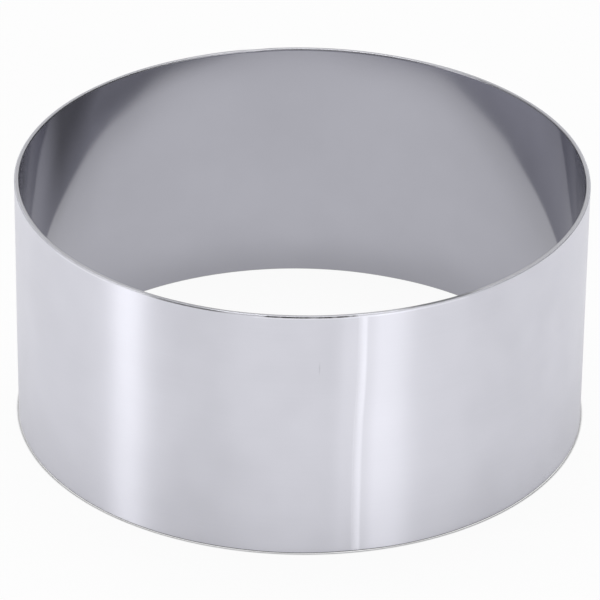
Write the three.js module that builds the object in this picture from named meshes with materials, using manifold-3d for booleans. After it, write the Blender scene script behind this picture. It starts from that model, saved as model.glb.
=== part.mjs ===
// Mousse ring: an open mould wall for set desserts, made of one strip of stainless sheet.
// The strip is rolled into a circle and its two cut ends are closed by one butt weld.
// Millimetres. +Z is up along the ring's axis, the origin lies on the axis in the plane
// of the lower edge, and the weld faces -Y.
import * as THREE from "three";
import { mergeVertices } from "three/addons/utils/BufferGeometryUtils.js";
import Module from "manifold-3d";

// The rolled strip.
const OUTER_DIAMETER = 98;
const HEIGHT = 45;
const SHEET = 0.8;
const EDGE_RADIUS = 0.25;
const LEAST_EDGE_FLAT = 0.1;

// The weld: the gap that it fills, and how far it stands proud outside and inside.
const SEAM_WIDTH = 1.2;
const FACE_CROWN = 0.08;
const ROOT_CROWN = 0.12;

// How finely the round surfaces are divided.
const RING_FACETS = 180;
const CORNER_DIVISIONS = 2;
const CROWN_DIVISIONS = 8;

const outerRadius = OUTER_DIAMETER / 2;
const innerRadius = outerRadius - SHEET;
const edgeRadius = Math.min(EDGE_RADIUS, (SHEET - LEAST_EDGE_FLAT) / 2);

const wasm = await Module();
wasm.setup();

// A closed three.js geometry as a solid that can be cut.
function solidFrom(geometry) {
  geometry.deleteAttribute("normal");
  geometry.deleteAttribute("uv");
  const merged = mergeVertices(geometry);
  return new wasm.Manifold(
    new wasm.Mesh({
      numProp: 3,
      vertProperties: merged.getAttribute("position").array,
      triVerts: new Uint32Array(merged.getIndex().array),
    }),
  );
}

// A solid as a named mesh with flat-shaded faces.
function meshFrom(name, solid, material) {
  const cut = solid.getMesh();
  const indexed = new THREE.BufferGeometry();
  indexed.setAttribute("position", new THREE.BufferAttribute(cut.vertProperties, 3));
  indexed.setIndex(new THREE.BufferAttribute(cut.triVerts, 1));
  const geometry = indexed.toNonIndexed();
  geometry.computeVertexNormals();
  const mesh = new THREE.Mesh(geometry, material);
  mesh.name = name;
  return mesh;
}

// The upright section of a wall between two distances from the axis, x outwards and y up,
// with all four corners rounded as the strip's deburred edges are.
function wallSection(inner, outer) {
  const low = edgeRadius;
  const high = HEIGHT - edgeRadius;
  const quarter = Math.PI / 2;
  const section = new THREE.Shape();
  section.absarc(outer - edgeRadius, high, edgeRadius, 0, quarter);
  section.absarc(inner + edgeRadius, high, edgeRadius, quarter, 2 * quarter);
  section.absarc(inner + edgeRadius, low, edgeRadius, 2 * quarter, 3 * quarter);
  section.absarc(outer - edgeRadius, low, edgeRadius, 3 * quarter, 4 * quarter);
  section.closePath();
  return section;
}

// The weld seen from above: straight sides on the strip's two cut ends, and a low curve
// over the face and over the root, each level with the wall where it meets the strip.
function weldPlan() {
  const half = SEAM_WIDTH / 2;
  const face = -Math.sqrt(outerRadius ** 2 - half ** 2);
  const root = -Math.sqrt(innerRadius ** 2 - half ** 2);
  const faceTop = -(outerRadius + FACE_CROWN);
  const rootTop = -(innerRadius - ROOT_CROWN);
  const plan = new THREE.Shape();
  plan.moveTo(-half, face);
  plan.quadraticCurveTo(0, 2 * faceTop - face, half, face);
  plan.lineTo(half, root);
  plan.quadraticCurveTo(0, 2 * rootTop - root, -half, root);
  plan.closePath();
  return plan;
}

// The strip: its wall section turned about the axis, less the gap between its ends.
function ringBand() {
  const profile = wallSection(innerRadius, outerRadius).getPoints(CORNER_DIVISIONS);
  const hoop = new THREE.LatheGeometry(profile, RING_FACETS);
  hoop.rotateX(Math.PI / 2);
  const gap = new THREE.BoxGeometry(SEAM_WIDTH, OUTER_DIAMETER, 2 * HEIGHT);
  gap.translate(0, -OUTER_DIAMETER / 2, HEIGHT / 2);
  return solidFrom(hoop).subtract(solidFrom(gap));
}

// The weld: its plan carried up the wall, and its ends dressed to the strip's round edges.
function weldSeam() {
  const bead = new THREE.ExtrudeGeometry(weldPlan(), {
    depth: HEIGHT,
    curveSegments: CROWN_DIVISIONS,
    bevelEnabled: false,
  });
  const dressed = new THREE.ExtrudeGeometry(
    wallSection(innerRadius - ROOT_CROWN, outerRadius + FACE_CROWN),
    { depth: SEAM_WIDTH, curveSegments: CORNER_DIVISIONS, bevelEnabled: false },
  );
  dressed.rotateX(Math.PI / 2);
  dressed.rotateZ(-Math.PI / 2);
  dressed.translate(SEAM_WIDTH / 2, 0, 0);
  return solidFrom(bead).intersect(solidFrom(dressed));
}

const satinSteel = new THREE.MeshStandardMaterial({
  color: 0xcdcdd5,
  metalness: 1,
  roughness: 0.22,
});
const weldSteel = new THREE.MeshStandardMaterial({
  color: 0xe4e4ee,
  metalness: 1,
  roughness: 0.35,
});

const ring = new THREE.Group();
ring.add(meshFrom("ring_band", ringBand(), satinSteel));
ring.add(meshFrom("weld_seam", weldSeam(), weldSteel));

export default ring;
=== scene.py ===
# %% [markdown]
# A mousse ring is the wall of a mould and nothing more: a strip of bright stainless sheet,
# rolled into a circle and closed by one upright weld. With so little shape to look at, the
# whole likeness lies in how the steel mirrors its surroundings, so this lesson spends its
# care on a true round wall, soft edges, a believable weld and a plain studio to reflect.
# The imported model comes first. It is the fixed frame that every piece is measured from.

# %% Load the frame
import math

import bmesh
import bpy
from mathutils import Matrix, Quaternion, Vector, noise


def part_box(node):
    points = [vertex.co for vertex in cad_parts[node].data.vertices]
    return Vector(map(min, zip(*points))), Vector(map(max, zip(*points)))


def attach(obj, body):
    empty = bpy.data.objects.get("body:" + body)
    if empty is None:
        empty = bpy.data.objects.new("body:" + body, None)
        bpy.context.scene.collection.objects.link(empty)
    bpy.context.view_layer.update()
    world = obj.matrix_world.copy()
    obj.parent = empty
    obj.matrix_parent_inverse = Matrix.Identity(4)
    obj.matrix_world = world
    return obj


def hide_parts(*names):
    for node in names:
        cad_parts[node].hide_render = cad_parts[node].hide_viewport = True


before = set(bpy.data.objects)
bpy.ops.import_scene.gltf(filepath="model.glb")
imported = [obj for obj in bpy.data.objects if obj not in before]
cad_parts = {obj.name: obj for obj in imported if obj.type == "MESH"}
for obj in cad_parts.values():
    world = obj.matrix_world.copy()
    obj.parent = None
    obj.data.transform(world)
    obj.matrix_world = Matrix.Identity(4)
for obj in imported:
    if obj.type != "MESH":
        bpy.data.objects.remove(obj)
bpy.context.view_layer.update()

scene = bpy.context.scene
print("nodes in the frame:", sorted(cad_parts))

# %% [markdown]
# The frame gives the ring's outer radius, its height and the width of the weld, so none of
# these is typed again. Only two sizes can't be read from a box: how thick the sheet is, and
# how far its sharp corners were rubbed round.

# %% Read the sizes
MM = 0.001
SHEET = 0.8 * MM
EDGE_RADIUS = 0.25 * MM

band_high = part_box("ring_band")[1]
weld_low, weld_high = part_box("weld_seam")
OUTER_RADIUS = band_high.x
MIDDLE_RADIUS = OUTER_RADIUS - SHEET / 2
INNER_RADIUS = OUTER_RADIUS - SHEET
HEIGHT = band_high.z
SEAM_WIDTH = weld_high.x - weld_low.x
print(f"ring {2 * OUTER_RADIUS / MM:.1f} mm across and {HEIGHT / MM:.1f} mm high")
print(f"seam {SEAM_WIDTH / MM:.2f} mm wide")

# %% [markdown]
# The camera stands far off with a long lens and looks down at a little under thirty degrees,
# so that the back wall, the open bottom and the front wall all show. The weld is a little
# right of the middle, so the camera stands a little left of it. Aiming a camera with a
# quaternion keeps the small roll of the picture a separate step. The lens is in millimetres,
# for Blender's usual sensor, which is 36 mm wide.

# %% Place the camera
CAMERA_AZIMUTH = math.radians(-11.6)
CAMERA_ELEVATION = math.radians(29.41)
CAMERA_DISTANCE = 814.1 * MM
CAMERA_ROLL = math.radians(0.746)
CAMERA_LENS = 283.4
AIM_HEIGHT = 20.63 * MM
AIM_RIGHT = -0.15 * MM


def direction(azimuth, elevation):
    """The way from the ring to a place that far round and that far up."""
    level = math.cos(elevation)
    return Vector((math.sin(azimuth) * level, -math.cos(azimuth) * level, math.sin(elevation)))


def facing(place, aim):
    """The turn that makes a camera or a lamp at this place look at the aim."""
    return (aim - place).to_track_quat("-Z", "Y")


rightwards = Vector((math.cos(CAMERA_AZIMUTH), math.sin(CAMERA_AZIMUTH), 0.0))
camera_aim = Vector((0.0, 0.0, AIM_HEIGHT)) + AIM_RIGHT * rightwards
roll = Quaternion((0.0, 0.0, 1.0), CAMERA_ROLL)
camera_data = bpy.data.cameras.new("camera")
camera_data.lens = CAMERA_LENS
camera = bpy.data.objects.new("camera", camera_data)
camera.location = camera_aim + CAMERA_DISTANCE * direction(CAMERA_AZIMUTH, CAMERA_ELEVATION)
camera.rotation_mode = "QUATERNION"
camera.rotation_quaternion = facing(camera.location, camera_aim) @ roll
scene.collection.objects.link(camera)
scene.camera = camera
print("camera at", [round(value, 3) for value in camera.location])

# %% [markdown]
# The wall could be a cylinder with a Solidify modifier, but then its rim would be two sharp
# corners, and a sharp corner never catches the light. Real strip has its edges rubbed round,
# so the section of the wall is drawn once, as a tall thin loop of four corners, the corners
# are bevelled, and the loop is spun about the axis. One function does it for the strip and
# for the weld, because the weld is the last little piece of the same circle. At the end the
# wall is sliced into level rows, which gives later steps points to move. A slice that falls
# on a row already there makes no second one, which would be a row of faces without area.

# %% Spin a wall from its section
EDGE_STEPS = 6
EDGE_SUPPORT = 0.15 * MM
SAME_ROW = 0.001 * MM


def spun_wall(start, sweep, steps, row_height):
    """A bmesh of the rounded wall section, spun from one angle through another and closed."""
    wall = bmesh.new()
    section = ((INNER_RADIUS, 0), (OUTER_RADIUS, 0), (OUTER_RADIUS, HEIGHT), (INNER_RADIUS, HEIGHT))
    corners = [wall.verts.new((radius, 0, z)) for radius, z in section]
    for index, corner in enumerate(corners):
        wall.edges.new((corner, corners[index - 1]))
    bmesh.ops.bevel(
        wall, geom=wall.verts[:], offset=EDGE_RADIUS, offset_type="OFFSET", segments=EDGE_STEPS,
        profile=0.5, affect="VERTICES", material=-1,
    )
    bmesh.ops.rotate(wall, verts=wall.verts[:], cent=(0, 0, 0), matrix=Matrix.Rotation(start, 3, "Z"))
    first_loop = wall.edges[:]
    spun = bmesh.ops.spin(
        wall, geom=wall.verts[:] + first_loop, cent=(0, 0, 0), axis=(0, 0, 1), dvec=(0, 0, 0),
        angle=sweep, steps=steps, use_merge=False, use_normal_flip=False, use_duplicate=False,
    )
    last_loop = [edge for edge in spun["geom_last"] if isinstance(edge, bmesh.types.BMEdge)]
    for loop in (first_loop, last_loop):
        bmesh.ops.edgeloop_fill(wall, edges=loop)
    rows = round(HEIGHT / row_height)
    heights = [HEIGHT * row / rows for row in range(1, rows)]
    heights += [EDGE_RADIUS + EDGE_SUPPORT, HEIGHT - EDGE_RADIUS - EDGE_SUPPORT]
    for z in heights:
        everything = wall.verts[:] + wall.edges[:] + wall.faces[:]
        bmesh.ops.bisect_plane(
            wall, geom=everything, dist=SAME_ROW, plane_co=(0, 0, z), plane_no=(0, 0, 1),
        )
    bmesh.ops.recalc_face_normals(wall, faces=wall.faces[:])
    return wall


# %% [markdown]
# A map laid along the wall lets a finish follow the strip: u runs along its length and v up
# its height, both in metres, so a scratch drawn in the map has its true size. The map starts
# from the weld, so a finish can also ask how near the weld it is. A second map keeps how deep
# in the sheet a point lies, which tells an outer corner from the flat beside it. Both are laid
# while the wall is still a true circle, before the rolls and the welder may disturb it.

# %% Lay the maps along the strip
SEAM_ANGLE = -math.pi / 2


def wrapped(angle):
    """The same angle, brought between minus pi and pi."""
    return (angle + math.pi) % (2 * math.pi) - math.pi


def off_seam(point):
    """How far round from the weld a point lies, from minus pi to pi."""
    return wrapped(math.atan2(point.y, point.x) - SEAM_ANGLE)


def lay_maps(wall):
    """Writes length and height into a map named strip, and depth and height into one named section."""
    strip_map = wall.loops.layers.uv.new("strip")
    section_map = wall.loops.layers.uv.new("section")
    for face in wall.faces:
        middle = off_seam(face.calc_center_median())
        for corner in face.loops:
            point = corner.vert.co
            angle = off_seam(point)
            if abs(angle - middle) > math.pi:
                angle = math.copysign(math.pi, middle)
            corner[strip_map].uv = (angle * OUTER_RADIUS, point.z)
            corner[section_map].uv = (OUTER_RADIUS - point.xy.length, point.z)


# %% [markdown]
# No rolled strip is a perfect circle. The rolls leave long, shallow waves, far too small to
# measure with a ruler, which still bend a reflection, and the last few millimetres at each
# end come out of the rolls almost flat. A soft noise makes the waves, and one smooth bump
# makes the flat. Both only ever go inwards, which keeps the ring inside its true size.

# %% What the rolls left
WAVE_DEPTH = 0.15 * MM
WAVES_ROUND = 3.5
WAVES_UP = 50.0
WAVE_SEED = Vector((3.7, 1.9, 8.2))
SEAM_FLAT_DEPTH = 0.06 * MM
SEAM_FLAT_REACH = math.radians(5.0)


def bump(angle, reach):
    """One at angle nothing, falling smoothly to nothing beyond the reach."""
    return math.exp(-((angle / reach) ** 2))


def roll_wave(angle, z):
    """How far the rolls left the wall inside its true circle."""
    place = Vector((WAVES_ROUND * math.cos(angle), WAVES_ROUND * math.sin(angle), WAVES_UP * z))
    wave = 0.5 + 0.5 * noise.noise(place + WAVE_SEED)
    return WAVE_DEPTH * wave + SEAM_FLAT_DEPTH * bump(angle, SEAM_FLAT_REACH)


# %% [markdown]
# The weld sways from left to right on its way up and wanders a little, because a hand or a
# worn guide led the torch. At the back, the rim has one small nick. Like the waves, both are
# worked out from a point's angle and height alone, so the strip and the weld agree where they
# meet.

# %% What the welder and a knock left
SEAM_SWAY = 0.32 * MM
SWAY_HEIGHT = 28.5 * MM
SWAY_REACH = 6.0 * MM
SEAM_WANDER = 0.1 * MM
WANDERS_UP = 90.0
WANDER_SEED = Vector((0.5, 0.5, 0.0))
SEAM_PULL_REACH = math.radians(10.0)
NICK_ANGLE = math.radians(178.6)
NICK_REACH = math.radians(2.2)
NICK_DEPTH = 0.1 * MM
NICK_HEIGHT = 1.0 * MM


def seam_shift(z):
    """How far to the right the weld's middle lies at this height."""
    sway = SEAM_SWAY * math.tanh((z - SWAY_HEIGHT) / SWAY_REACH)
    wander = noise.noise(WANDER_SEED + Vector((0.0, 0.0, WANDERS_UP * z)))
    return sway + SEAM_WANDER * wander


def rim_dip(angle, z):
    """How far the nick presses the wall down: most at the rim, nothing below the nick's height."""
    near_rim = max(0.0, 1.0 - (HEIGHT - z) / NICK_HEIGHT)
    return NICK_DEPTH * near_rim * bump(wrapped(angle - NICK_ANGLE), NICK_REACH)


def settle(wall, swell):
    """Moves every point from the true wall to where the rolls, the welder and the knock left it."""
    farthest = 0.0
    for vertex in wall.verts:
        true_place = vertex.co.copy()
        angle = off_seam(true_place)
        z = true_place.z
        radius = true_place.xy.length + swell(true_place) - roll_wave(angle, z)
        turned = SEAM_ANGLE + angle + seam_shift(z) / OUTER_RADIUS * bump(angle, SEAM_PULL_REACH)
        vertex.co = (radius * math.cos(turned), radius * math.sin(turned), z - rim_dip(angle, z))
        farthest = max(farthest, (vertex.co - true_place).length)
    print(f"points moved by up to {farthest / MM:.2f} mm")


# %% [markdown]
# A finished piece is a mesh object that stays at the origin, with its place in its mesh.
# The faces are shaded smooth, and edges sharper than the rounded ones stay crisp.

# %% Turn a wall into a piece
SMOOTH_ANGLE = math.radians(35.0)


def finished_piece(name, wall):
    """Makes the wall a smooth mesh object and frees the bmesh."""
    mesh = bpy.data.meshes.new(name)
    wall.to_mesh(mesh)
    wall.free()
    mesh.shade_smooth()
    mesh.set_sharp_from_angle(angle=SMOOTH_ANGLE)
    piece = bpy.data.objects.new(name, mesh)
    scene.collection.objects.link(piece)
    print(f"{name}: {len(mesh.vertices)} vertices, {len(mesh.polygons)} faces")
    return piece


# %% [markdown]
# The strip is the wall spun through the whole circle less the gap that the weld fills. It is
# spun in fine steps, because a mirror shows every flat.

# %% The strip
STRIP_STEPS = 480
STRIP_ROW = 1.5 * MM
seam_half_angle = math.asin(SEAM_WIDTH / 2 / OUTER_RADIUS)


def no_swell(point):
    """The strip keeps its thickness all over."""
    return 0.0


strip_sweep = 2 * (math.pi - seam_half_angle)
strip_wall = spun_wall(SEAM_ANGLE + seam_half_angle, strip_sweep, STRIP_STEPS, STRIP_ROW)
lay_maps(strip_wall)
settle(strip_wall, no_swell)
strip = finished_piece("rolled_strip", strip_wall)

# %% [markdown]
# The weld fills the gap. It could be drawn on the strip with a texture, but a bead catches
# the light because it is proud of the wall, so it is modelled: the same section spun across
# the gap, swelled into a low crown outside and a root inside. Fine crescents up its height
# are what the cooling puddle leaves behind, and dressing the weld has almost rubbed them out.
# The crown outside was dressed lower than the root inside, which no tool could reach well.

# %% The weld
WELD_STEPS = 14
WELD_ROW = 0.2 * MM
FACE_CROWN = 0.012 * MM
ROOT_CROWN = 0.11 * MM
CROWN_FADE = 0.6 * MM
CRESCENT_PITCH = 0.9 * MM
CRESCENT_BOW = 0.35
CRESCENT_SHARE = 0.06
BEAD_UNEVENNESS = 0.15
BEADS_UP = 350.0


def bead_swell(point):
    """How far the weld swells here: most at its middle, nothing where it meets the strip."""
    inside = point.xy.length < MIDDLE_RADIUS
    across = off_seam(point) / seam_half_angle
    low_arch = max(0.0, 1.0 - across * across)
    from_edge = min(point.z, HEIGHT - point.z)
    fade = min(1.0, from_edge / CROWN_FADE)
    crescent = math.cos(2 * math.pi * (point.z / CRESCENT_PITCH + CRESCENT_BOW * across * across))
    lump = noise.noise(Vector((across, 0.0, BEADS_UP * point.z)))
    height = low_arch * fade * (1.0 + CRESCENT_SHARE * crescent + BEAD_UNEVENNESS * lump)
    return -ROOT_CROWN * height if inside else FACE_CROWN * height


weld_wall = spun_wall(SEAM_ANGLE - seam_half_angle, 2 * seam_half_angle, WELD_STEPS, WELD_ROW)
lay_maps(weld_wall)
settle(weld_wall, bead_swell)
weld = finished_piece("weld_bead", weld_wall)

# %% [markdown]
# Finishes are built from shader nodes. A few small helpers keep them readable: one adds any
# node and fills its inputs with numbers or with other nodes' outputs, and the others add
# what every finish here needs, which is a sum, a ramp, a range and a blend. A Mix node has a
# pair of inputs for each kind of data, so its two colours are found by their numbers.

# %% Helpers for nodes
MIX_SHARE, MIX_FIRST, MIX_SECOND = 0, 6, 7
MIX_COLOUR = 2


def add(tree, kind, inputs=None, **settings):
    """A new node, with each input either linked to a socket or set to a value."""
    made = tree.nodes.new(kind)
    for name, value in settings.items():
        setattr(made, name, value)
    for name, value in (inputs or {}).items():
        if isinstance(value, bpy.types.NodeSocket):
            tree.links.new(value, made.inputs[name])
        else:
            made.inputs[name].default_value = value
    return made


def calc(tree, operation, first, *others):
    """The result of one kind of sum, carried along a row of numbers."""
    result = first
    for other in others or (0.0,):
        result = add(tree, "ShaderNodeMath", {0: result, 1: other}, operation=operation).outputs[0]
    return result


def ramp(tree, value, low, high):
    """Nothing at low, one at high, and smooth between."""
    inputs = {"Value": value, "From Min": low, "From Max": high}
    return add(tree, "ShaderNodeMapRange", inputs, interpolation_type="SMOOTHSTEP").outputs[0]


def between(tree, share, low, high):
    """A number that goes from low to high as the share goes from nothing to one."""
    return add(tree, "ShaderNodeMapRange", {"Value": share, "To Min": low, "To Max": high}).outputs[0]


def blend(tree, share, first, second):
    """One colour, going over to another as the share goes from nothing to one."""
    inputs = {MIX_SHARE: share, MIX_FIRST: first, MIX_SECOND: second}
    return add(tree, "ShaderNodeMix", inputs, data_type="RGBA").outputs[MIX_COLOUR]


# %% [markdown]
# A finish also needs soft patches, and a way to say where on the ring a mark lies. Patches
# come from a noise that is read from the piece's own space, so it runs round the ring without
# a break, and marks are placed through the strip map, as stretches with soft ends.

# %% Helpers for patches and places
def patches(tree, along, up, detail=2.0, shift=(0.0, 0.0, 0.0)):
    """Soft patches between nothing and one, so many to the metre round the ring and up it."""
    place = add(tree, "ShaderNodeTexCoord").outputs["Object"]
    spread = {0: place, 1: (along, along, up), 2: shift}
    spot = add(tree, "ShaderNodeVectorMath", spread, operation="MULTIPLY_ADD").outputs[0]
    return add(tree, "ShaderNodeTexNoise", {"Vector": spot, "Scale": 1.0, "Detail": detail}).outputs[0]


def strip_place(tree):
    """How far along the strip from the weld, and how far up it."""
    strip_map = add(tree, "ShaderNodeUVMap", uv_map="strip").outputs[0]
    return add(tree, "ShaderNodeSeparateXYZ", {0: strip_map}).outputs[:2]


def stretch(tree, value, span, soft):
    """One within a span from low to high, fading to nothing over a soft distance beyond each end."""
    low, high = span
    begun = ramp(tree, value, low - soft, low)
    not_ended = ramp(tree, value, high + soft, high)
    return calc(tree, "MULTIPLY", begun, not_ended)


# %% [markdown]
# Steel is all reflection: a metal with a pale, slightly cold colour. What stops it looking
# like plastic chrome is what was done to it. Whatever is done to strip is done along it, so
# its fine lines run round the ring and spread light up and down far more than sideways. A
# shader calls that anisotropy, and has to be told which way the lines run. The strip map
# tells it. Every finish of this ring starts from this one function, and ends in the next.

# %% Steel with lines along the strip
QUARTER_TURN = 0.25


def lined_steel(name, lines):
    """A steel that spreads light across its lines, the more the stronger the lines are."""
    material = bpy.data.materials.new(name)
    material.use_nodes = True
    tree = material.node_tree
    shader = tree.nodes["Principled BSDF"]
    shader.inputs["Metallic"].default_value = 1.0
    shader.inputs["Anisotropic"].default_value = lines
    shader.inputs["Anisotropic Rotation"].default_value = QUARTER_TURN
    lie = add(tree, "ShaderNodeTangent", direction_type="UV_MAP", uv_map="strip").outputs[0]
    tree.links.new(lie, shader.inputs["Tangent"])
    return material, tree, shader


def dress(tree, shader, colour, tone, roughness, height, relief):
    """Gives the steel its colour, made lighter or darker by the tone, its roughness and its relief."""
    toned = add(tree, "ShaderNodeVectorMath", {0: colour, "Scale": tone}, operation="SCALE")
    bumps = add(tree, "ShaderNodeBump", {"Height": height, "Distance": relief, "Strength": 1.0})
    tree.links.new(toned.outputs[0], shader.inputs["Base Color"])
    tree.links.new(roughness, shader.inputs["Roughness"])
    tree.links.new(bumps.outputs[0], shader.inputs["Normal"])


# %% [markdown]
# Two things are drawn on the outside. Just under the rim, near the weld and again far to
# its left, a thin line of the wall is painted brighter, a painted highlight where the rim's
# corner catches the lamps, and a few millimetres left of the weld is one short, faint upright
# scratch. They could be painted on a picture, but the strip map finds them by their distance
# from the weld and their height, so they stay sharp however near one looks.

# %% A painted highlight and a scratch on the outside
# Where the painted highlight lines lie under the rim.
NEAR_GLINT_SPAN = (-17.0 * MM, 18.0 * MM)
FAR_GLINT_SPAN = (-57.0 * MM, -45.0 * MM)
GLINT_SOFT = 1.5 * MM
GLINT_LOW = HEIGHT - 0.6 * MM
GLINT_HIGH = HEIGHT - 0.35 * MM
SCRATCH_ALONG = -6.9 * MM
SCRATCH_UP = 35.4 * MM
SCRATCH_WIDTH = 0.16 * MM
SCRATCH_LENGTH = 1.5 * MM


def painted_glint_lines(tree, along, up):
    """One along the two painted highlight lines just under the rim, and nothing elsewhere."""
    near = stretch(tree, along, NEAR_GLINT_SPAN, GLINT_SOFT)
    far = stretch(tree, along, FAR_GLINT_SPAN, GLINT_SOFT)
    under_rim = ramp(tree, up, GLINT_LOW, GLINT_HIGH)
    return calc(tree, "MULTIPLY", under_rim, calc(tree, "MAXIMUM", near, far))


def upright_scratch(tree, along, up):
    """One in the middle of the scratch, fading to nothing at its sides and its ends."""
    off_along = calc(tree, "ABSOLUTE", calc(tree, "SUBTRACT", along, SCRATCH_ALONG))
    off_up = calc(tree, "ABSOLUTE", calc(tree, "SUBTRACT", up, SCRATCH_UP))
    across = ramp(tree, off_along, SCRATCH_WIDTH, 0.0)
    lengthwise = ramp(tree, off_up, SCRATCH_LENGTH, 0.0)
    return calc(tree, "MULTIPLY", across, lengthwise)


# %% [markdown]
# The outside was brushed, which draws every lamp out into an upright streak. Beside the weld
# it was melted to clean pale metal, and a little farther the heat has left it darker. Clouds
# left by handling keep the wall from looking computed. A noise goes on for ever, and the
# clouds' shift picks a part of it whose clouds lie much as they do on the real ring.

# %% The brushed outside
OUTSIDE_STEEL = (0.81, 0.81, 0.881, 1.0)
HEAT_TINT = (0.75, 0.75, 0.815, 1.0)
HEAT_REACH = 3.2 * MM
MELTED_STEEL = (0.90, 0.90, 0.975, 1.0)
MELTED_REACH = 0.95 * MM
MELTED_HALF = 0.35 * MM
OUTSIDE_ROUGHNESS = (0.31, 0.37)
OUTSIDE_LINES = 0.93
LINE_PATTERN = {"along": 40.0, "up": 3000.0, "detail": 4.0}
LINE_TONE = (0.99, 1.01)
LINE_RELIEF = 0.0012 * MM
CLOUD_PATTERN = {"along": 45.0, "up": 45.0, "shift": (5.2, -2.1, 5.2)}
CLOUD_TONE = (0.925, 1.075)
HANDLING_PATTERN = {"along": 190.0, "up": 190.0, "detail": 3.0}
GLINT_LIGHT = 0.15
SCRATCH_DARKNESS = 0.16


def brushed_outside():
    """The finish of the strip's outside."""
    material, tree, shader = lined_steel("brushed_outside", OUTSIDE_LINES)
    along, up = strip_place(tree)
    from_weld = calc(tree, "ABSOLUTE", along)
    heated = blend(tree, ramp(tree, from_weld, HEAT_REACH, MELTED_REACH), OUTSIDE_STEEL, HEAT_TINT)
    colour = blend(tree, ramp(tree, from_weld, MELTED_REACH, MELTED_HALF), heated, MELTED_STEEL)
    lines = patches(tree, **LINE_PATTERN)
    clouds = between(tree, patches(tree, **CLOUD_PATTERN), *CLOUD_TONE)
    uneven = calc(tree, "MULTIPLY", clouds, between(tree, lines, *LINE_TONE))
    # Painted highlight under the rim.
    light = calc(tree, "MULTIPLY", painted_glint_lines(tree, along, up), GLINT_LIGHT)
    dark = calc(tree, "MULTIPLY", upright_scratch(tree, along, up), SCRATCH_DARKNESS)
    tone = calc(tree, "SUBTRACT", calc(tree, "ADD", uneven, light), dark)
    roughness = between(tree, patches(tree, **HANDLING_PATTERN), *OUTSIDE_ROUGHNESS)
    dress(tree, shader, colour, tone, roughness, lines, LINE_RELIEF)
    return material


# %% [markdown]
# The left side of the inside is painted darker, a painted shade that deepens the dark
# corner where light has bounced twice. The painted shade lies above two slanting lines, a
# steep one in the corner and a flatter one along the rim, and ends a little short of the far
# side. Along a slanting line, the height plus so many times the distance towards that side
# is always the same, so one sum tells how far above the line a point lies.

# %% The painted shade inside
# Where the painted shade inside lies.
SHADE_SIDE = (-0.979, 0.204, 0.0)
SHADE_FULL = 42.0 * MM
SHADE_END = 46.0 * MM
STEEP_SLANT = 2.0
STEEP_EDGES = (106.0 * MM, 124.0 * MM)
FLAT_SLANT = 0.35
FLAT_EDGES = (47.5 * MM, 54.0 * MM)
FLAT_SHARE = 0.5


def painted_corner_shade(tree):
    """How much painted shade darkens the left of the inside: most above the steep line, less above the
    flat one.
    """
    up = strip_place(tree)[1]
    place = add(tree, "ShaderNodeTexCoord").outputs["Object"]
    dot = add(tree, "ShaderNodeVectorMath", {0: place, 1: SHADE_SIDE}, operation="DOT_PRODUCT")
    sideways = dot.outputs["Value"]
    steep = calc(tree, "ADD", up, calc(tree, "MULTIPLY", sideways, STEEP_SLANT))
    flat = calc(tree, "ADD", up, calc(tree, "MULTIPLY", sideways, FLAT_SLANT))
    along_rim = calc(tree, "MULTIPLY", ramp(tree, flat, *FLAT_EDGES), FLAT_SHARE)
    # dull holds the painted shade's share here.
    dull = calc(tree, "MAXIMUM", ramp(tree, steep, *STEEP_EDGES), along_rim)
    return calc(tree, "MULTIPLY", dull, ramp(tree, sideways, SHADE_END, SHADE_FULL))


# %% [markdown]
# The inside kept the smoother face that the mill gave it, because a dessert has to slip
# out. Its steel is painted about half as bright as the outside's, a painted shade for the
# shadow that the wall casts on the table within the ring. It mirrors the table and itself:
# where the back wall shows the table it is light, and in the two corners beside it light has
# bounced twice, so they are dark.

# %% The smooth inside, with painted shade
# Both inside colours are painted dark, as painted shade.
SHADED_INSIDE_STEEL = (0.405, 0.405, 0.448, 1.0)
SHADED_INSIDE_PALE = (0.48, 0.48, 0.531, 1.0)
INSIDE_TONE = (0.97, 1.03)
INSIDE_ROUGHNESS = (0.07, 0.11)
INSIDE_LINES = 0.7
INSIDE_LINE_PATTERN = {"along": 30.0, "up": 2000.0, "detail": 3.0}
INSIDE_RELIEF = 0.0005 * MM
INSIDE_CLOUD_PATTERN = {"along": 30.0, "up": 40.0}
INSIDE_HANDLING_PATTERN = {"along": 150.0, "up": 150.0, "detail": 3.0}
CORNER_SHADE_TONE = 0.3


def smooth_shaded_inside():
    """The finish of the strip's inside, painted darker as shade."""
    material, tree, shader = lined_steel("smooth_shaded_inside", INSIDE_LINES)
    colour = blend(tree, patches(tree, **INSIDE_CLOUD_PATTERN), SHADED_INSIDE_STEEL, SHADED_INSIDE_PALE)
    handling = patches(tree, **INSIDE_HANDLING_PATTERN)
    # Painted shade over the left of the inside.
    corner_shaded = between(tree, painted_corner_shade(tree), 1.0, CORNER_SHADE_TONE)
    tone = calc(tree, "MULTIPLY", between(tree, handling, *INSIDE_TONE), corner_shaded)
    roughness = between(tree, handling, *INSIDE_ROUGHNESS)
    lines = patches(tree, **INSIDE_LINE_PATTERN)
    dress(tree, shader, colour, tone, roughness, lines, INSIDE_RELIEF)
    return material


# %% [markdown]
# Dark painted shade lies along the edges: in the outer corner of the foot, in patches in
# the outer corner of the rim to the left of the weld, thinly over the whole rim farther left,
# and on the flat of the rim to the right. Everywhere else the outer corner of the rim is what
# knocks against other things, so it is scuffed rougher, and it is also painted paler, a
# painted highlight along that corner. The second map holds the depth in the sheet, and so
# finds the corners.

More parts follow.
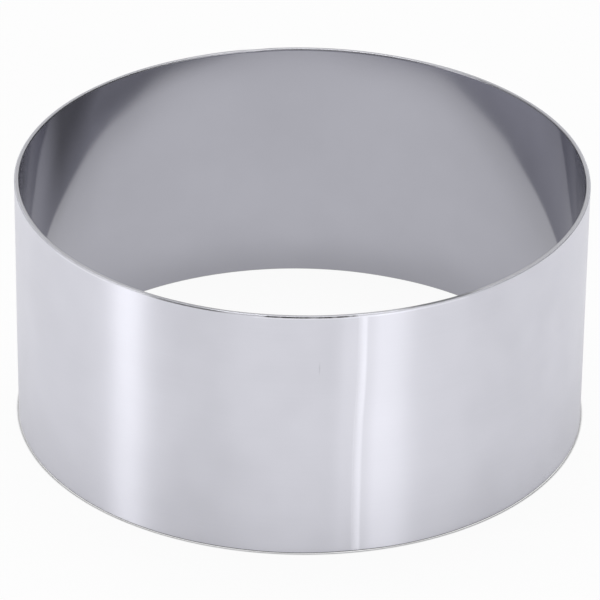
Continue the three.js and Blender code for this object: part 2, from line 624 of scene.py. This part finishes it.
# %% Painted shade, scuffs and a painted highlight on the edges
# How deep and how dark the painted shade along the edges lies.
EDGE_SHADE_DEPTH = (0.17 * MM, 0.07 * MM)
SHADE_PATCH_PATTERN = {"along": 700.0, "up": 700.0}
SHADE_PATCH_EDGES = (0.3, 0.6)
FLAT_SHADE = 0.8
FAR_SHADE = 0.25
FOOT_CORNER_SHADE = 0.6
SCUFF_DEPTH = (0.25 * MM, 0.13 * MM)


def outer_corner(tree, depth):
    """One in the outer corner of an edge, from nothing at the first depth in from the outside."""
    section_map = add(tree, "ShaderNodeUVMap", uv_map="section").outputs[0]
    depth_in = add(tree, "ShaderNodeSeparateXYZ", {0: section_map}).outputs[0]
    return ramp(tree, depth_in, *depth)


def painted_edge_shade(tree, at_rim, left, far, right):
    """How much painted shade darkens an edge, from nothing to one."""
    corner = outer_corner(tree, EDGE_SHADE_DEPTH)
    flat = calc(tree, "SUBTRACT", at_rim, corner)
    at_foot = calc(tree, "SUBTRACT", corner, at_rim)
    shade_patches = ramp(tree, patches(tree, **SHADE_PATCH_PATTERN), *SHADE_PATCH_EDGES)
    left_shade = calc(tree, "MULTIPLY", at_rim, corner, left, shade_patches)
    far_shade = calc(tree, "MULTIPLY", at_rim, far, FAR_SHADE)
    right_shade = calc(tree, "MULTIPLY", at_rim, flat, right, FLAT_SHADE)
    foot_corner_shade = calc(tree, "MULTIPLY", at_foot, FOOT_CORNER_SHADE)
    return calc(tree, "MAXIMUM", left_shade, far_shade, right_shade, foot_corner_shade)


def rim_scuff_and_highlight(tree, at_rim, left, far):
    """How scuffed and painted pale the outer corner of the rim is: not at all where the painted shade
    fills it.
    """
    filled = calc(tree, "MAXIMUM", left, far)
    bare = calc(tree, "SUBTRACT", outer_corner(tree, SCUFF_DEPTH), filled)
    return calc(tree, "MULTIPLY", at_rim, calc(tree, "MAXIMUM", bare, 0.0))


# %% [markdown]
# The two edges were rubbed round with a stone, which leaves them far less lined, and their
# steel is painted darker than the wall's, a painted shade that dims the lamps' reflections
# in them. The foot and the rim share one finish, which asks the strip map which of the two
# it is on and how far from the weld, and lays the painted shade, the scuffs and the painted
# highlight over the rubbed steel.

# %% The rubbed edges, with painted shade
# The edge steel is painted dark, a painted shade.
SHADED_EDGE_STEEL = (0.42, 0.42, 0.45, 1.0)
SHADED_EDGE_WORN = (0.50, 0.50, 0.53, 1.0)
EDGE_TONE = (0.96, 1.04)
EDGE_ROUGHNESS = (0.28, 0.38)
EDGE_LINES = 0.2
EDGE_RELIEF = 0.0008 * MM
RUB_PATTERN = {"along": 120.0, "up": 6000.0, "detail": 3.0}
WEAR_PATTERN = {"along": 60.0, "up": 60.0}
# Where the painted shade lies along the rim.
LEFT_SHADE_SPAN = (-15.0 * MM, -1.8 * MM)
LEFT_SHADE_SOFT = 1.2 * MM
FAR_SHADE_SPAN = (-33.0 * MM, -26.0 * MM)
FAR_SHADE_SOFT = 5.5 * MM
RIGHT_SHADE_SPAN = (11.0 * MM, 17.0 * MM)
RIGHT_SHADE_SOFT = 6.5 * MM
EDGE_SHADE_TONE = 0.2
# The paler tone of the scuffed corner is a painted highlight.
SCUFF_HIGHLIGHT_TONE = 1.8
SCUFF_ROUGHNESS = 0.6


def rubbed_shaded_edge():
    """The finish of the foot and of the rim, with painted shade and a painted highlight."""
    material, tree, shader = lined_steel("rubbed_shaded_edge", EDGE_LINES)
    along, up = strip_place(tree)
    at_rim = ramp(tree, up, 0.0, HEIGHT)
    left = stretch(tree, along, LEFT_SHADE_SPAN, LEFT_SHADE_SOFT)
    far = stretch(tree, along, FAR_SHADE_SPAN, FAR_SHADE_SOFT)
    right = stretch(tree, along, RIGHT_SHADE_SPAN, RIGHT_SHADE_SOFT)
    # Painted shade along the foot and the rim.
    edge_shade = painted_edge_shade(tree, at_rim, left, far, right)
    scuff_and_highlight = rim_scuff_and_highlight(tree, at_rim, left, far)
    rubs = patches(tree, **RUB_PATTERN)
    colour = blend(tree, patches(tree, **WEAR_PATTERN), SHADED_EDGE_STEEL, SHADED_EDGE_WORN)
    rubbed = between(tree, rubs, *EDGE_TONE)
    edge_shaded = between(tree, edge_shade, 1.0, EDGE_SHADE_TONE)
    # Painted highlight on the scuffed corner.
    highlighted = between(tree, scuff_and_highlight, 1.0, SCUFF_HIGHLIGHT_TONE)
    tone = calc(tree, "MULTIPLY", rubbed, edge_shaded, highlighted)
    scuffed = calc(tree, "MULTIPLY", scuff_and_highlight, SCUFF_ROUGHNESS)
    roughness = calc(tree, "MAXIMUM", between(tree, rubs, *EDGE_ROUGHNESS), scuffed)
    dress(tree, shader, colour, tone, roughness, rubs, EDGE_RELIEF)
    return material


# %% [markdown]
# The strip carries all three finishes, and each face takes the one that its place calls for:
# the rounded edge rows are rubbed, and of the rest, a face nearer the axis than the middle of
# the sheet is inside.

# %% Give each face of the strip its finish
OUTSIDE, INSIDE, EDGE = range(3)


def finish_of(face):
    """Which of its piece's three finishes a face has."""
    if not EDGE_RADIUS < face.center.z < HEIGHT - EDGE_RADIUS:
        return EDGE
    return INSIDE if face.center.xy.length < MIDDLE_RADIUS else OUTSIDE


def lay_finishes(piece, outside, inside, edge):
    """Gives a piece its three finishes, face by face."""
    for finish in (outside, inside, edge):
        piece.data.materials.append(finish)
    for face in piece.data.polygons:
        face.material_index = finish_of(face)
    print(f"{piece.name}: {outside.name} outside, {inside.name} inside, {edge.name} at its edges")


edge_finish = rubbed_shaded_edge()
lay_finishes(strip, brushed_outside(), smooth_shaded_inside(), edge_finish)

# %% [markdown]
# The weld was melted and then dressed along the strip with a fine belt, so it takes the lamps
# much as the wall does. Weld metal is cleaner and paler than rolled sheet, which is why it
# shows as a light stripe even where the wall round it is bright. The root inside was never
# dressed, so it is duller than the face.

# %% The weld metal
FACE_DULL = (0.86, 0.86, 0.932, 1.0)
ROOT_PALE = (0.62, 0.62, 0.67, 1.0)
ROOT_DULL = (0.50, 0.50, 0.54, 1.0)
WELD_ROUGHNESS = (0.30, 0.40)
WELD_LINES = 0.92
BEAD_PATTERN = {"along": 900.0, "up": 160.0, "detail": 3.0}
BELT_PATTERN = {"along": 500.0, "up": 9000.0, "detail": 3.0}
BELT_TONE = (0.98, 1.02)
BELT_RELIEF = 0.002 * MM


def weld_metal(name, pale, dull, beside):
    """Weld metal, patchy between pale and dull, that goes over to the colour beside it."""
    material, tree, shader = lined_steel(name, WELD_LINES)
    bead = blend(tree, patches(tree, **BEAD_PATTERN), pale, dull)
    from_middle = calc(tree, "ABSOLUTE", strip_place(tree)[0])
    colour = blend(tree, ramp(tree, from_middle, MELTED_REACH, MELTED_HALF), beside, bead)
    belt = patches(tree, **BELT_PATTERN)
    tone = between(tree, belt, *BELT_TONE)
    roughness = between(tree, belt, *WELD_ROUGHNESS)
    dress(tree, shader, colour, tone, roughness, belt, BELT_RELIEF)
    return material


weld_face = weld_metal("weld_face", MELTED_STEEL, FACE_DULL, HEAT_TINT)
weld_root = weld_metal("weld_root", ROOT_PALE, ROOT_DULL, SHADED_INSIDE_STEEL)
lay_finishes(weld, weld_face, weld_root, edge_finish)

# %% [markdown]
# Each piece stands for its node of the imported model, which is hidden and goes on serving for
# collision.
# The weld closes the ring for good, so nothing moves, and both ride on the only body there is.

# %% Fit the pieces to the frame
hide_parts("ring_band")
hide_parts("weld_seam")
for piece in (strip, weld):
    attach(piece, "root")
    print(piece.name, "rides on root")

# %% [markdown]
# The ring stands on a plain white table that runs out of sight. Steel has no look of its own,
# so the table is most of what the wall shows. Part of the table's white is its own light,
# seen only by the camera and by reflections, which keeps it white without more lamps, and the
# rest is plain matte white that still takes the ring's shadow. In the steel this own light
# fades a little towards the ring's foot, where a real table would be shaded, and right at the
# foot it stops, so a thin dark line of contact is left.

# %% The table
TABLE_SIZE = 8.0
TABLE_WHITE = (0.93, 0.93, 0.93, 1.0)
CAMERA_GLOW = 0.94
MIRROR_GLOW = 0.8
FOOT_REACH = 35.0 * MM
FOOT_SHADE = 0.2
INSIDE_HASTE = 2.2
CONTACT_REACH = 0.4 * MM


def table_white():
    """A white with a light of its own, over a matte white that takes the shadow."""
    material = bpy.data.materials.new("table_white")
    material.use_nodes = True
    tree = material.node_tree
    tree.nodes.remove(tree.nodes["Principled BSDF"])
    ray = add(tree, "ShaderNodeLightPath").outputs
    mirrored = calc(tree, "MAXIMUM", ray["Is Glossy Ray"], ray["Is Transmission Ray"])
    seen_glow = calc(tree, "MULTIPLY", ray["Is Camera Ray"], CAMERA_GLOW)
    mirror_glow = calc(tree, "MULTIPLY", mirrored, MIRROR_GLOW)
    glow = calc(tree, "MAXIMUM", seen_glow, mirror_glow)

    place = add(tree, "ShaderNodeTexCoord").outputs["Object"]
    radius = add(tree, "ShaderNodeVectorMath", {0: place}, operation="LENGTH").outputs["Value"]
    outwards = calc(tree, "SUBTRACT", radius, OUTER_RADIUS)
    inwards = calc(tree, "MULTIPLY", outwards, -INSIDE_HASTE)
    from_foot = calc(tree, "MAXIMUM", outwards, inwards)
    near_foot = calc(tree, "MULTIPLY", ramp(tree, from_foot, FOOT_REACH, 0.0), mirrored)
    strength = between(tree, near_foot, 1.0, 1.0 - FOOT_SHADE)
    share = calc(tree, "MULTIPLY", glow, ramp(tree, from_foot, 0.0, CONTACT_REACH))

    matte = add(tree, "ShaderNodeBsdfDiffuse", {"Color": TABLE_WHITE})
    white = add(tree, "ShaderNodeEmission", {"Strength": strength})
    mixed = add(tree, "ShaderNodeMixShader", {0: share, 1: matte.outputs[0], 2: white.outputs[0]})
    tree.links.new(mixed.outputs[0], tree.nodes["Material Output"].inputs["Surface"])
    return material


top = bmesh.new()
bmesh.ops.create_grid(top, x_segments=1, y_segments=1, size=TABLE_SIZE / 2)
table_mesh = bpy.data.meshes.new("table")
top.to_mesh(table_mesh)
top.free()
table = bpy.data.objects.new("table", table_mesh)
table.data.materials.append(table_white())
scene.collection.objects.link(table)
print(f"table {TABLE_SIZE:.0f} m across")

# %% [markdown]
# The studio is a dim room with one soft box overhead, which does most of the lighting. Low at
# each side stands a narrow box, and each becomes one upright streak on the brushed wall. The
# white panel behind the ring is what the flat of the rim mirrors, and three weak fills keep
# the rest of the wall from going dark. A box is given by its angles in degrees, its sizes in
# metres, and how bright it looks in a mirror, where 1 is white. Its power follows.

# %% The lights
ROOM_GREY = (0.12, 0.12, 0.12, 1.0)
LAMP_AIM = Vector((0.0, 0.0, 0.0))


def soft_box(name, azimuth, elevation, distance, width, height, brightness):
    """A soft box that faces the ring, placed by its angle round from the camera and its height."""
    lamp = bpy.data.lights.new(name, "AREA")
    lamp.shape = "RECTANGLE"
    lamp.size = width
    lamp.size_y = height
    lamp.energy = brightness * math.pi * width * height
    box = bpy.data.objects.new(name, lamp)
    box.location = distance * direction(CAMERA_AZIMUTH + math.radians(azimuth), math.radians(elevation))
    box.rotation_mode = "QUATERNION"
    box.rotation_quaternion = facing(box.location, LAMP_AIM)
    scene.collection.objects.link(box)
    print(f"{name}: {lamp.energy:.2f} W")


soft_box("top_box", azimuth=180, elevation=78, distance=1.2, width=0.9, height=0.7, brightness=3.4)
soft_box("left_box", azimuth=-67, elevation=20, distance=1.0, width=0.22, height=0.6, brightness=4.4)
soft_box("right_box", azimuth=30, elevation=20, distance=1.0, width=0.36, height=0.6, brightness=2.8)
soft_box("back_panel", azimuth=180, elevation=25, distance=2.2, width=2.4, height=2.0, brightness=0.85)
soft_box("front_fill", azimuth=-8, elevation=6, distance=1.4, width=0.85, height=0.5, brightness=0.85)
soft_box("right_fill", azimuth=54, elevation=6, distance=1.4, width=0.5, height=0.5, brightness=0.85)
soft_box("left_fill", azimuth=-110, elevation=25, distance=1.6, width=1.2, height=0.9, brightness=0.4)

room = bpy.data.worlds.new("room")
room.use_nodes = True
room.node_tree.nodes["Background"].inputs["Color"].default_value = ROOM_GREY
scene.world = room
scene.view_settings.view_transform = "Standard"

# %% [markdown]
# Close to the rim at either side, light bounces round the inside many times before it comes
# out. Blender gives up after four mirror bounces unless it is told otherwise, which would
# leave a black sliver along the rim, so it is allowed more.

# %% Let light bounce round the ring
RING_BOUNCES = 12
scene.cycles.glossy_bounces = RING_BOUNCES
print("mirror bounces allowed:", scene.cycles.glossy_bounces)
